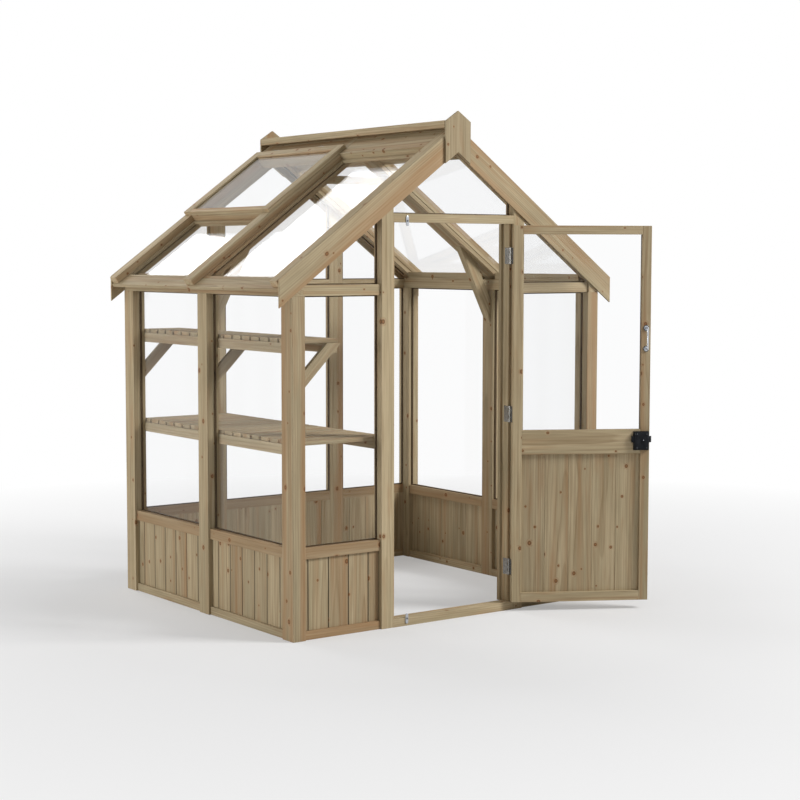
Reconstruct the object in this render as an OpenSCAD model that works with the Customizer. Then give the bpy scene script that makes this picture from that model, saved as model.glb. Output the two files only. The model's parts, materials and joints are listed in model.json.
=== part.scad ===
// A small wooden greenhouse with a pitched glass roof, seen with its door open and its roof vent shut.
// Origin on the ground, in the middle of the front face. X runs to the right, Y to the back, Z up.
// All sizes are in millimetres.

/* [House] */
// Width of the house over the corner posts
house_w = 1730; // [1600:10:2200]
// Depth of the house over the corner posts
house_d = 1520; // [1400:10:2100]
// Height of the top of the eaves plates, which carry the rafters
eaves_h = 1526; // [1500:2:1700]
// Slope of the roof in degrees
pitch = 36; // [34:1:38]
// Which piece is drawn

/* [Wall frame] */
// Thickness of the wall frames
wall_t = 58; // [54:1:66]
// Width of a corner post along the front
post_w = 64; // [62:1:80]
// Width of a corner post along the side
post_d = 88; // [80:1:100]
// Width of the middle post of each side wall
mid_post = 84; // [78:1:92]
// Width of the two posts beside the door
door_post = 64; // [56:1:74]
// Width of the two studs in the back wall
rear_stud = 84; // [70:1:92]
// Distance from the middle to the near face of a back stud
stud_in = 317; // [290:1:340]
// Height of the sole plates and of the threshold
sole_h = 38; // [32:1:42]
// Height of the top of the sills under the glass
sill_top = 398; // [360:1:440]
// Height of a sill
sill_h = 48; // [40:1:56]
// Height of an eaves plate
plate_h = 53; // [44:1:58]
// Height of the rail over the windows of the end walls
rail_h = 47; // [38:1:50]
// How far soles, sills and rails stand back from the posts
rail_set = 10; // [6:1:12]
// Thickness of the studs, sills and rails of the back wall
rear_t = 38; // [36:1:44]

/* [Cladding] */
// How far the wall boards stand back from the posts
board_set = 22; // [14:1:24]
// Thickness of a wall board
board_t = 16; // [14:1:19]
// Width that one wall board covers
board_pitch = 105; // [88:1:125]
// Bevel along the edges of a wall board
board_bevel = 2.5; // [1.5:0.5:3.5]

/* [Glazing] */
// How far the side and front panes stand back from the posts
glass_set = 32; // [28:1:36]
// How far the back panes stand back from the posts
rear_glass_set = 20; // [16:1:22]
// Thickness of a pane
glass_t = 4; // [3:0.5:5]
// Width of the beads on the roof panes
bead_w = 15; // [10:1:18]
// Width of the thin glazing strips around the wall and door panes
strip_w = 5; // [4:0.5:7]
// Depth of those strips, square to the pane
strip_d = 10; // [8:1:12]

/* [Roof] */
// Depth of a rafter, square to the slope
rafter_d = 70; // [66:1:80]
// Width of a middle rafter
mid_rafter = 70; // [60:1:76]
// How deep the rafters are notched over the eaves plates
notch = 18.8; // [16:0.2:22]
// How far the rafters run out past the side walls
overhang = 78; // [74:1:92]
// Depth of a rafter over the eaves board
tail_d = 32; // [28:1:36]
// Thickness of an eaves board
eaves_board_t = 18; // [14:1:18]
// How far an eaves board runs up the slope from the rafter ends
eaves_board_up = 55; // [51:1:58]
// Thickness of the ridge board
ridge_t = 22; // [18:1:28]
// Width of the ridge cap
cap_w = 142; // [124:1:150]
// Thickness of the ridge cap
cap_t = 33; // [26:1:38]
// Width of a barge board
barge_w = 97; // [85:1:110]
// Thickness of a barge board
barge_t = 10; // [8:1:14]
// How far the barge boards stop short of the rafter ends
barge_short = 9; // [0:1:20]
// Width of a finial board
finial_w = 140; // [120:1:160]
// Thickness of a finial board
finial_t = 11; // [9:1:16]
// How far a finial stands above the ridge cap
finial_up = 44; // [36:1:60]
// Length of the roof top rails, from the ridge down to the panes
top_rail_l = 149; // [142:1:165]
// Height of the underside of the collar tie over the top of the eaves plates
tie_up = 459; // [440:1:474]
// Height of the collar tie
tie_h = 38; // [32:1:42]
// Thickness of the collar tie and of the knee braces
tie_t = 40; // [34:1:48]
// Width of a knee brace
brace_w = 58; // [48:1:64]
// How far the knee braces start under the top of the eaves plates
brace_down = 223; // [200:1:235]
// Lean of the knee braces from upright, in degrees
brace_lean = 27; // [25:1:30]

/* [Roof vent] */
// Length of the vent down the slope
vent_l = 531; // [480:1:600]
// Thickness of the vent frame
vent_t = 20; // [18:1:26]
// Width of the bottom rail of the vent
vent_bottom = 27; // [24:1:40]
// Width of the top rail of the vent
vent_top = 45; // [40:1:50]
// Distance of a vent hinge from the rafter beside it
vent_hinge_in = 110; // [80:5:150]
// Length of one knuckle of a vent hinge
vent_k = 10; // [8:0.5:12]
// Radius of a vent hinge knuckle
vent_knuckle_r = 3.2; // [3:0.1:3.4]

/* [Doorway] */
// Width between the door jambs
doorway_w = 651; // [630:1:670]
// Height of the underside of the transom over the top of the eaves plates
door_up = 264; // [240:1:274]
// Height of the transom
transom_h = 38; // [30:1:44]
// Thickness of a door jamb
jamb_t = 14; // [12:1:20]
// How far the jambs and the shut door stand back from the posts
jamb_set = 14; // [12:1:15]
// How far the door stops stand out into the doorway
stop_in = 12; // [8:1:14]
// How far the door stands open in the rest pose, in degrees
door_open = 150.4; // [120:0.1:155]

/* [Door] */
// Gap between the door and the jamb on the hinge side
hinge_gap = 3; // [3:0.1:4]
// Gap between the door and the jamb on the latch side
latch_gap = 4; // [3.5:0.1:4.5]
// Gap over and under the door
door_gap = 4; // [3:0.5:6]
// Thickness of the door
door_t = 42; // [38:1:43]
// Width of a door stile
stile_w = 43; // [42:1:58]
// Height of the top rail of the door
door_top = 40; // [36:1:56]
// Height of the middle of the lock rail
lock_rail_z = 787; // [780:1:790]
// Height of the lock rail
lock_rail_h = 112; // [108:1:118]
// Height of the bottom rail of the door
door_bottom = 45; // [40:1:60]
// Depth of the rebates that hold the pane of the door
door_reb = 6; // [5:1:8]
// Thickness of the boards in the door
door_board_t = 14; // [12:1:16]

/* [Door hardware] */
// Height of a door hinge
hinge_h = 75; // [65:1:90]
// Distance of the top hinge's middle from the top of the door
hinge_top = 139; // [120:1:160]
// Distance of the second hinge's middle from the top of the lock rail
hinge_mid = 73; // [66:1:86]
// Distance of the low hinge's middle from the bottom of the door
hinge_low = 161; // [140:1:180]
// Thickness of a hinge leaf
hinge_leaf = 1.4; // [1.2:0.1:1.4]
// Width of a hinge leaf
hinge_w = 30; // [24:1:34]
// Radius of a door hinge knuckle
knuckle_r = 5.1; // [4.8:0.1:5.2]
// Radius of a door hinge pin
pin_r = 2; // [1.6:0.1:2.2]
// Length of the pull handle between the middles of its feet
pull_l = 96; // [80:1:130]
// Radius of the round feet of the pull handle
pull_foot = 13.5; // [10:0.5:15]
// Height of the middle of the pull handle
pull_z = 1265; // [1220:1:1300]
// Height of the latch case
latch_h = 88; // [84:1:92]
// Width of the latch case
latch_w = 74; // [70:1:80]
// Distance from the edge of the door to the latch case
latch_in = 3.5; // [2:0.5:4]
// Depth of the latch case
latch_d = 20; // [18:1:22]
// How far the latch bolt stands out
bolt_out = 7; // [6.5:0.1:7.3]
// Length of a turn button
button_l = 46; // [40:1:50]
// Width of a turn button
button_w = 15; // [12:1:16]
// Distance of the turn buttons from the middle of the doorway
button_x = 267; // [255:1:275]

/* [Shelves] */
// How far the top of the upper shelf lies under the top of the eaves plates
shelf_a_down = 238; // [236:1:250]
// Reach of the upper shelf from the wall
shelf_a_w = 214; // [190:1:230]
// Height of the top of the lower shelf
shelf_b_z = 850; // [846:1:852]
// Width of a shelf slat
slat_w = 64; // [56:1:66]
// Distance from one shelf slat to the next
slat_pitch = 78; // [74:1:82]
// Thickness of a shelf slat
slat_t = 18; // [15:1:20]
// Height of the bearers under the slats
bearer_h = 45; // [38:1:48]
// Thickness of the bearers
bearer_t = 24; // [20:1:28]
// Width of the struts under the upper shelf
strut_w = 52; // [44:1:58]
// Thickness of the struts
strut_t = 22; // [18:1:28]
// Reach of a strut at the underside of the bearers
strut_reach = 172; // [164:1:178]
// Width of the leg under the lower shelf
leg_w = 60; // [50:1:80]
// Thickness of that leg
leg_t = 34; // [28:1:40]

/* [Hidden] */
$fn = 48;
// Gap at the joints between sticks of one group
seam = 0.4;
// Air left between parts that move past each other
air = 0.3;
// Air left in a pin hole, on the radius
pin_air = 0.05;
// Air left at the side and top edges of a pane
pane_air = 1;
// Air left where sloping sticks and the layers of the roof meet
fit = 0.05;
hw = house_w / 2;
tp = tan(pitch);
cp = cos(pitch);
sp = sin(pitch);
mid_y = house_d / 2;
plate_z = eaves_h - plate_h;
rail_top = plate_z + rail_h;
door_head = eaves_h + door_up;
tie_z = eaves_h + tie_up;
shelf_a_z = eaves_h - shelf_a_down;
bead_y0 = glass_set + glass_t;
rear_bead_y0 = rear_glass_set + glass_t;
// Roof planes: the top of the rafters at the wall face, and where they would meet
rafter_v = rafter_d / cp;
wall_top = eaves_h + rafter_v - notch;
apex_z = wall_top + hw * tp;
tail_x = hw + overhang;
tail_z = wall_top - overhang * tp;
ridge_r = ridge_t / 2;
cap_z = apex_z - 14;
// Places down the slope, measured from the rafter ends
ridge_s = (tail_x - ridge_r) / cp;
pane_s1 = ridge_s - top_rail_l;
pane_s0 = eaves_board_up + 0.5;
glass_d1 = tail_d + eaves_board_t;
glass_d0 = glass_d1 - glass_t;
batten_s0 = (eaves_h - tail_z + rafter_d * cp) / sp + 2;
batten_s1 = ridge_s - rafter_d * tp - 1;
batten_w = 18;
// Roof bays between the rafters
bay_a0 = wall_t;
bay_a1 = mid_y - mid_rafter / 2;
bay_b0 = mid_y + mid_rafter / 2;
bay_b1 = house_d - wall_t;
// Roof vent: its hinge edge up the slope, its lower edge and its hinge axis
vent_s1 = pane_s1 + 50;
vent_s0 = vent_s1 - vent_l;
vent_stile = wall_t;
vent_ax_s = vent_s1 + vent_knuckle_r + 1.2;
vent_ax_d = -vent_knuckle_r - 0.2;
trim_s1 = vent_s0 + vent_bottom;
// Doorway and door, drawn shut
jamb_x = doorway_w / 2;
dpost_in = jamb_x + jamb_t;
dpost_out = dpost_in + door_post;
leaf_x0 = -jamb_x + latch_gap;
leaf_x1 = jamb_x - hinge_gap;
leaf_y0 = jamb_set;
leaf_y1 = jamb_set + door_t;
leaf_z0 = sole_h + door_gap;
leaf_z1 = door_head - door_gap - 3;
lock_z0 = lock_rail_z - lock_rail_h / 2;
lock_z1 = lock_rail_z + lock_rail_h / 2;
door_glass_y = leaf_y0 + 19;
door_board_y = leaf_y0 + 14;
// Hinge axis of the door
pin_x = jamb_x - hinge_leaf + knuckle_r;
pin_y = jamb_set - knuckle_r - 0.4;
hinge_za = leaf_z1 - hinge_top;
hinge_zb = lock_z1 + hinge_mid;
hinge_zc = leaf_z0 + hinge_low;
// Latch on the inner face of the door
latch_z = lock_rail_z + 3.5;
bolt_z = latch_z + 7.5;
bolt_h = 29;
bolt_y0 = leaf_y1 + 4.5;
bolt_t = 11;
latch_stroke = bolt_out - 0.5;
// Turn buttons on the transom and on the threshold
button_za = door_head + 6;
button_zb = sole_h - 5;
// Shelves on the left wall
slat_y0 = wall_t + 7;
slat_n = floor((house_d - 2 * slat_y0 + slat_pitch - slat_w) / slat_pitch);
slat_first = mid_y - (slat_n * slat_pitch - slat_pitch + slat_w) / 2;
shelf_x0 = -hw + post_w + 1;
shelf_wall = -hw + wall_t;
shelf_a_x1 = shelf_wall + shelf_a_w;
shelf_b_x1 = -jamb_x - 5.5;
bearer_a_z = shelf_a_z - slat_t - bearer_h;
bearer_b_z = shelf_b_z - slat_t - bearer_h;
strut_y = [bead_y0 + strip_d + 1, mid_y - strut_t, house_d - post_d];

wood = [0.72, 0.62, 0.46];
wood_dark = [0.62, 0.53, 0.38];
glass_tint = [0.82, 0.92, 0.9, 0.35];
zinc = [0.72, 0.74, 0.76];
black = [0.13, 0.13, 0.14];

// Height of the rafter top plane and of the rafter underside at a distance from the middle
function top_at(x) = apex_z - x * tp;
function rafter_under(x) = apex_z - rafter_v - x * tp;
// Where the sticks and panes under a rafter end
function under_at(x) = rafter_under(x) - fit;
// A point of the right roof slope: s up the slope from the rafter end, d square down into the roof
function rp(s, d) = [tail_x - s * cp - d * sp, tail_z + s * sp - d * cp];

// A box from its two corners
module box(a, b) {
  translate(a)
    cube(b - a);
}

// A flat shape standing upright across the house, from one depth to another
module upright(y0, y1, pts) {
  translate([0, y1, 0])
    rotate([90, 0, 0])
      linear_extrude(height = y1 - y0)
        polygon(pts);
}

// A stick lying in the right roof slope
module slope_bar(s0, s1, d0, d1, y0, y1) {
  upright(y0, y1, [rp(s0, d0), rp(s1, d0), rp(s1, d1), rp(s0, d1)]);
}

module both() {
  children();
  mirror([1, 0, 0])
    children();
}

module front_and_back() {
  children();
  translate([0, house_d, 0])
    mirror([0, 1, 0])
      children();
}

// Wall frames are drawn along X with the outer face at Y 0 and then set in their place
module on_left() {
  translate([-hw, 0, 0])
    mirror([1, 0, 0])
      rotate([0, 0, 90])
        children();
}

module on_rear() {
  translate([0, house_d, 0])
    mirror([0, 1, 0])
      children();
}

// The bays of each wall, from post to post
side_bays = [[post_d, mid_y - mid_post / 2], [mid_y + mid_post / 2, house_d - post_d]];
front_bays = [[-hw + post_w, -dpost_out], [dpost_out, hw - post_w]];
rear_bays = [[-hw + post_w, -stud_in - rear_stud], [-stud_in, stud_in], [stud_in + rear_stud, hw - post_w]];

module bay_sticks(bays, y0, y1, z0, z1) {
  for (b = bays)
    box([b[0], y0, z0], [b[1], y1, z1]);
}

// One tongued and grooved wall board, lying from x to x plus w
module wall_board(x, w, tongue, groove) {
  t0 = board_t * 0.36;
  t1 = board_t * 0.64;
  tl = 5;
  c = board_bevel;
  right = tongue ? [[w, c], [w, t0], [w + tl, t0], [w + tl, t1], [w, t1], [w, board_t]] : [[w, c], [w, board_t]];
  left = groove ? [[0, board_t], [0, t1 + 0.3], [tl + 1, t1 + 0.3], [tl + 1, t0 - 0.3], [0, t0 - 0.3], [0, c]]
    : [[0, board_t], [0, c]];
  translate([x, board_set, sole_h])
    linear_extrude(height = sill_top - sill_h - sole_h)
      polygon(concat([[c, 0], [w - c, 0]], right, left));
}

// Full boards with a cut board at each end of the bay: lead is the first one's share of what is left
module board_bays(bays, lead) {
  for (b = bays) {
    n = floor((b[1] - b[0] - 30) / board_pitch);
    first = (b[1] - b[0] - n * board_pitch) * lead;
    at = concat([b[0]], [for (i = [0 : n]) b[0] + first + i * board_pitch], [b[1]]);
    for (i = [0 : n + 1]) {
      x0 = at[i] + (i > 0 ? seam / 2 : 0);
      x1 = at[i + 1] - (i < n + 1 ? seam / 2 : 0);
      wall_board(x0, x1 - x0, i < n + 1, i > 0);
    }
  }
}

// Panes that stand on the sills
module pane_bays(bays, y0) {
  for (b = bays)
    box([b[0] + pane_air, y0, sill_top], [b[1] - pane_air, y0 + glass_t, plate_z - pane_air]);
}

// Four glazing strips behind each pane
module strip_bays(bays, y0) {
  w = strip_w;
  y1 = y0 + strip_d;
  za = sill_top + w + seam;
  zb = plate_z - w - seam;
  for (b = bays) {
    box([b[0], y0, sill_top], [b[1], y1, sill_top + w]);
    box([b[0], y0, plate_z - w], [b[1], y1, plate_z]);
    box([b[0], y0, za], [b[0] + w, y1, zb]);
    box([b[1] - w, y0, za], [b[1], y1, zb]);
  }
}

module corner_posts() {
  color(wood)
    both()
      front_and_back()
        box([hw - post_w, 0, 0], [hw, post_d, plate_z]);
}

module side_posts() {
  color(wood)
    both()
      box([hw - wall_t, mid_y - mid_post / 2, 0], [hw, mid_y + mid_post / 2, plate_z]);
}

module door_posts() {
  color(wood)
    both()
      upright(0, wall_t, [[dpost_in, 0], [dpost_out, 0], [dpost_out, under_at(dpost_out)], [dpost_in, under_at(dpost_in)]]);
}

module rear_studs() {
  a = stud_in;
  b = stud_in + rear_stud;
  color(wood)
    on_rear()
      both()
        upright(0, rear_t, [[a, 0], [b, 0], [b, under_at(b)], [a, under_at(a)]]);
}

module sole_plates() {
  color(wood) {
    both()
      on_left()
        bay_sticks(side_bays, rail_set, wall_t, 0, sole_h);
    bay_sticks(front_bays, rail_set, wall_t, 0, sole_h);
    on_rear()
      bay_sticks(rear_bays, rail_set, rear_t, 0, sole_h);
  }
}

module threshold() {
  color(wood)
    difference() {
      box([-dpost_in, 0, 0], [dpost_in, wall_t, sole_h]);
      button_bore(button_zb);
    }
}

module sills() {
  color(wood) {
    both()
      on_left()
        bay_sticks(side_bays, rail_set, wall_t, sill_top - sill_h, sill_top);
    bay_sticks(front_bays, rail_set, wall_t, sill_top - sill_h, sill_top);
    on_rear()
      bay_sticks(rear_bays, rail_set, rear_t, sill_top - sill_h, sill_top);
  }
}

module boards_left() {
  color(wood)
    on_left()
      board_bays(side_bays, 0.5);
}

module boards_right() {
  color(wood)
    mirror([1, 0, 0])
      on_left()
        board_bays(side_bays, 0.5);
}

module boards_front() {
  color(wood)
    both()
      board_bays([front_bays[0]], 0.3);
}

module boards_rear() {
  color(wood)
    on_rear()
      board_bays(rear_bays, 0.5);
}

module eaves_plates() {
  color(wood)
    both()
      box([hw - wall_t, 0, plate_z], [hw, house_d, eaves_h]);
}

// Low strips on the plates, between the battens, that close the gap under the roof panes
module eaves_fillets() {
  x0 = hw - wall_t;
  x1 = x0 + 22;
  h = (wall_top - glass_d1 / cp + (hw - x1) * tp) - eaves_h - 0.3;
  color(wood_dark)
    both() {
      box([x0, bay_a0 + batten_w, eaves_h], [x1, bay_a1 - batten_w, eaves_h + h]);
      box([x0, bay_b0 + batten_w, eaves_h], [x1, bay_b1 - batten_w, eaves_h + h]);
    }
}

module end_top_rails() {
  x1 = hw - wall_t;
  color(wood) {
    both()
      box([dpost_out, rail_set, plate_z], [x1, wall_t, rail_top]);
    on_rear() {
      both()
        box([stud_in + rear_stud, rail_set, plate_z], [x1, rear_t, rail_top]);
      box([-stud_in, rail_set, plate_z], [stud_in, rear_t, rail_top]);
    }
  }
}

module transom() {
  color(wood)
    difference() {
      box([-dpost_in, 0, door_head], [dpost_in, wall_t, door_head + transom_h]);
      button_bore(button_za);
    }
}

module door_jambs() {
  color(wood)
    both()
      box([jamb_x, jamb_set, sole_h], [dpost_in, wall_t, door_head]);
}

// Stops behind the door. The left one leaves room for the latch and the lower shelf.
module door_stops() {
  x0 = jamb_x - stop_in;
  z0 = latch_z - latch_h / 2 - 6;
  z1 = shelf_b_z + 4;
  color(wood_dark) {
    box([x0, wall_t, sole_h], [dpost_in, wall_t + 17, door_head]);
    box([-dpost_in, wall_t, sole_h], [-x0, wall_t + 17, z0]);
    box([-dpost_in, wall_t, z1], [-x0, wall_t + 17, door_head]);
  }
}

module side_glass() {
  color(glass_tint)
    both()
      on_left()
        pane_bays(side_bays, glass_set);
}

module front_glass() {
  color(glass_tint)
    pane_bays(front_bays, glass_set);
}

module rear_glass() {
  color(glass_tint)
    on_rear()
      pane_bays(rear_bays, rear_glass_set);
}

// Gable panes: one beside each post or stud and one in the middle
module gable_side_pane(x0, z0, y0) {
  x1 = hw - wall_t - pane_air;
  a = x0 + pane_air;
  e = pane_air / cp;
  upright(y0, y0 + glass_t, [[a, z0], [x1, z0], [x1, under_at(x1) - e], [a, under_at(a) - e]]);
}

module gable_mid_pane(xh, z0, y0) {
  a = xh - pane_air;
  e = pane_air / cp;
  z1 = under_at(ridge_r) - e;
  upright(y0, y0 + glass_t, [[-a, z0], [a, z0], [a, under_at(a) - e], [ridge_r, z1], [-ridge_r, z1], [-a, under_at(a) - e]]);
}

module gable_glass() {
  color(glass_tint) {
    both()
      gable_side_pane(dpost_out, rail_top, glass_set);
    gable_mid_pane(dpost_in, door_head + transom_h, glass_set);
    on_rear() {
      both()
        gable_side_pane(stud_in + rear_stud, rail_top, rear_glass_set);
      gable_mid_pane(stud_in, rail_top, rear_glass_set);
    }
  }
}

module wall_beads() {
  color(wood_dark) {
    both()
      on_left()
        strip_bays(side_bays, bead_y0);
    strip_bays(front_bays, bead_y0);
    on_rear()
      strip_bays(rear_bays, rear_bead_y0);
  }
}

module gable_side_beads(x0, z0, y0) {
  x1 = hw - wall_t;
  y1 = y0 + strip_d;
  v = strip_w / cp;
  zb = z0 + strip_w + seam;
  x2 = (under_at(0) - v - zb) / tp;
  xb = x0 + strip_w;
  top = x2 < x1 ? [[x2, zb], [x1, zb], [x1, under_at(x1)]] : [[x1, under_at(x1) - v], [x1, under_at(x1)]];
  box([x0, y0, z0], [x1, y1, z0 + strip_w]);
  upright(y0, y1, concat([[x0, under_at(x0)], [x0, under_at(x0) - v]], top));
  upright(y0, y1, [[x0, zb], [xb, zb], [xb, under_at(xb) - v - seam], [x0, under_at(x0) - v - seam]]);
}

module gable_mid_beads(xh, z0, y0) {
  y1 = y0 + strip_d;
  v = strip_w / cp;
  zb = z0 + strip_w + seam;
  z1 = under_at(ridge_r);
  a = seam / 2;
  xs = ridge_r - v / tp;
  tip = xs > a ? [[xs, z1]] : [[a, z1], [a, under_at(a) - v]];
  xb = xh - strip_w;
  box([-xh, y0, z0], [xh, y1, z0 + strip_w]);
  both() {
    upright(y0, y1, concat(tip, [[xh, under_at(xh) - v], [xh, under_at(xh)], [ridge_r, z1]]));
    upright(y0, y1, [[xb, zb], [xh, zb], [xh, under_at(xh) - v - seam], [xb, under_at(xb) - v - seam]]);
  }
}

module gable_beads() {
  color(wood_dark) {
    both()
      gable_side_beads(dpost_out, rail_top, bead_y0);
    gable_mid_beads(dpost_in, door_head + transom_h, bead_y0);
    on_rear() {
      both()
        gable_side_beads(stud_in + rear_stud, rail_top, rear_bead_y0);
      gable_mid_beads(stud_in, rail_top, rear_bead_y0);
    }
  }
}

// One rafter of the right slope: flat cut under the cap, notched over the plate, thinner at its tail
module rafter(y0, y1) {
  xf = (apex_z - cap_z) / tp;
  seat_x = hw - notch / tp;
  d5 = (tail_z + eaves_board_up * sp - eaves_h) / cp;
  upright(y0, y1, [rp(0, 0), [xf, cap_z], [ridge_r, cap_z], [ridge_r, rafter_under(ridge_r)], [seat_x, eaves_h],
    rp(eaves_board_up, d5), rp(eaves_board_up, tail_d), rp(0, tail_d)]);
}

module end_rafters() {
  color(wood)
    front_and_back()
      both()
        rafter(0, wall_t);
}

module mid_rafters() {
  color(wood)
    both()
      rafter(bay_a1, bay_b0);
}

module barge_boards() {
  v = barge_w / cp;
  xf = (apex_z - cap_z) / tp;
  a = seam / 2;
  b = tail_x - barge_short;
  color(wood)
    front_and_back()
      both()
        upright(-barge_t, 0, [[a, cap_z], [xf, cap_z], [b, top_at(b)], [b, top_at(b) - v], [a, top_at(a) - v]]);
}

module finials() {
  v = barge_w / cp;
  w = finial_w / 2;
  z2 = cap_z + cap_t - 3;
  color(wood)
    front_and_back()
      upright(-barge_t - finial_t, -barge_t, [[0, cap_z + cap_t + finial_up], [-w, z2], [-w, apex_z - v - w * tp], [0, apex_z - v],
        [w, apex_z - v - w * tp], [w, z2]]);
}

module ridge_board() {
  color(wood_dark)
    box([-ridge_r, 0, rafter_under(ridge_r)], [ridge_r, house_d, cap_z]);
}

module ridge_cap() {
  color(wood)
    box([-cap_w / 2, -barge_t, cap_z + fit], [cap_w / 2, house_d + barge_t, cap_z + cap_t]);
}

module eaves_boards() {
  color(wood)
    both()
      slope_bar(-10, eaves_board_up, tail_d + fit, glass_d1, 0, house_d);
}

// Rails under the ridge cap, between the rafters, cut plumb against the ridge board
top_rail_shape = [rp(pane_s1, 0), [(apex_z - cap_z) / tp, cap_z], [ridge_r, cap_z],
  [ridge_r, top_at(ridge_r) - glass_d1 / cp], rp(pane_s1, glass_d1)];

module roof_top_rails() {
  color(wood)
    both() {
      upright(bay_a0, bay_a1, top_rail_shape);
      upright(bay_b0, bay_b1, top_rail_shape);
    }
}

module vent_trimmer() {
  color(wood_dark)
    mirror([1, 0, 0])
      slope_bar(vent_s0, trim_s1, 0, rafter_d, bay_b0, bay_b1);
}

module roof_pane(s1, y0, y1) {
  slope_bar(pane_s0, s1 - pane_air, glass_d0, glass_d1, y0 + pane_air, y1 - pane_air);
}

module roof_glass() {
  color(glass_tint) {
    both()
      roof_pane(pane_s1, bay_a0, bay_a1);
    roof_pane(pane_s1, bay_b0, bay_b1);
    mirror([1, 0, 0])
      roof_pane(vent_s0, bay_b0, bay_b1);
  }
}

module roof_pane_beads(s1, y0, y1) {
  b = bead_w;
  d1 = glass_d0 - fit;
  slope_bar(pane_s0, pane_s0 + b, tail_d, d1, y0, y1);
  slope_bar(s1 - b, s1 - fit, tail_d, d1, y0, y1);
  slope_bar(pane_s0 + b + seam, s1 - b - seam, tail_d, d1, y0, y0 + b);
  slope_bar(pane_s0 + b + seam, s1 - b - seam, tail_d, d1, y1 - b, y1);
}

module roof_beads() {
  color(wood_dark) {
    both()
      roof_pane_beads(pane_s1, bay_a0, bay_a1);
    roof_pane_beads(pane_s1, bay_b0, bay_b1);
    mirror([1, 0, 0])
      roof_pane_beads(vent_s0, bay_b0, bay_b1);
  }
}

// Strips under the panes, along the rafters
module roof_battens() {
  b = batten_w;
  d0 = glass_d1 + fit;
  color(wood_dark) {
    both() {
      slope_bar(batten_s0, batten_s1, d0, rafter_d, bay_a0, bay_a0 + b);
      slope_bar(batten_s0, batten_s1, d0, rafter_d, bay_a1 - b, bay_a1);
    }
    slope_bar(batten_s0, batten_s1, d0, rafter_d, bay_b0, bay_b0 + b);
    slope_bar(batten_s0, batten_s1, d0, rafter_d, bay_b1 - b, bay_b1);
    mirror([1, 0, 0]) {
      slope_bar(batten_s0, vent_s0, d0, rafter_d, bay_b0, bay_b0 + b);
      slope_bar(batten_s0, vent_s0, d0, rafter_d, bay_b1 - b, bay_b1);
    }
  }
}

// A brace in each corner between the middle posts and the middle rafters
module knee_braces() {
  x0 = hw - wall_t;
  z0 = eaves_h - brace_down;
  s = sin(brace_lean);
  c = cos(brace_lean);
  // Where the lower and the upper edge of the brace meet the underside of the rafter
  ta = (under_at(x0) - z0) / (c - s * tp);
  zb = z0 + brace_w / s;
  tb = (under_at(x0) - zb) / (c - s * tp);
  color(wood)
    both()
      upright(mid_y - tie_t / 2, mid_y + tie_t / 2, [[x0, z0], [x0 - ta * s, z0 + ta * c], [x0 - tb * s, zb + tb * c], [x0, zb]]);
}

module collar_tie() {
  a = (under_at(0) - tie_z) / tp;
  b = (under_at(0) - tie_z - tie_h) / tp;
  color(wood)
    upright(mid_y - tie_t * 0.55, mid_y + tie_t * 0.45, [[-a, tie_z], [a, tie_z], [b, tie_z + tie_h], [-b, tie_z + tie_h]]);
}

module shelf_bearers() {
  w = bearer_t;
  color(wood) {
    box([shelf_wall, post_d, bearer_a_z], [shelf_wall + w, house_d - post_d, bearer_a_z + bearer_h]);
    box([shelf_a_x1 - w, strut_y[0] + strut_t, bearer_a_z], [shelf_a_x1, strut_y[2], bearer_a_z + bearer_h]);
    box([shelf_wall, post_d, bearer_b_z], [shelf_wall + w, house_d - post_d, bearer_b_z + bearer_h]);
    box([shelf_b_x1 - w, wall_t, bearer_b_z], [shelf_b_x1, house_d - rear_t, bearer_b_z + bearer_h]);
  }
}

module slats(x1, z) {
  for (i = [0 : slat_n - 1])
    box([shelf_x0, slat_first + i * slat_pitch, z - slat_t], [x1, slat_first + i * slat_pitch + slat_w, z]);
}

module upper_slats() {
  color(wood)
    slats(shelf_a_x1, shelf_a_z);
}

module lower_slats() {
  color(wood)
    slats(shelf_b_x1, shelf_b_z);
}

// Three slanting struts under the upper shelf, one at each post. The end ones lap over the ends of the inner bearer.
module shelf_strut(y, x0, x1) {
  z0 = bearer_a_z;
  z1 = shelf_a_z - slat_t;
  r = strut_reach;
  w = strut_w / sin(45);
  upright(y, y + strut_t, [[x0, z0 - r], [x1, z0 - r + x1 - x0], [x1, z1], [x0 + r - w + z1 - z0, z1], [x0, z0 - r + w]]);
}

module shelf_brackets() {
  xp = -hw + post_w;
  color(wood) {
    shelf_strut(strut_y[0], xp, shelf_a_x1);
    shelf_strut(strut_y[1], shelf_wall, shelf_a_x1 - bearer_t);
    shelf_strut(strut_y[2], xp, shelf_a_x1);
  }
}

module shelf_leg() {
  color(wood)
    box([shelf_wall, mid_y - leg_w / 2, 0], [shelf_wall + leg_t, mid_y + leg_w / 2, bearer_b_z]);
}

// Door, drawn shut and then swung open about its hinge axis
module swung() {
  translate([pin_x, pin_y, 0])
    rotate([0, 0, door_open])
      translate([-pin_x, -pin_y, 0])
        children();
}

module door_stiles() {
  color(wood)
    swung()
      difference() {
        union() {
          box([leaf_x0, leaf_y0, leaf_z0], [leaf_x0 + stile_w, leaf_y1, leaf_z1]);
          box([leaf_x1 - stile_w, leaf_y0, leaf_z0], [leaf_x1, leaf_y1, leaf_z1]);
        }
        door_rebate(0);
      }
}

// The step round the pane of the door, where pane and strips sit
module door_rebate(g) {
  r = door_reb - g;
  box([leaf_x0 + stile_w - r, leaf_y0 - 1, lock_z1 - r], [leaf_x1 - stile_w + r, door_glass_y + glass_t, leaf_z1 - door_top + r]);
}

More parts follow.
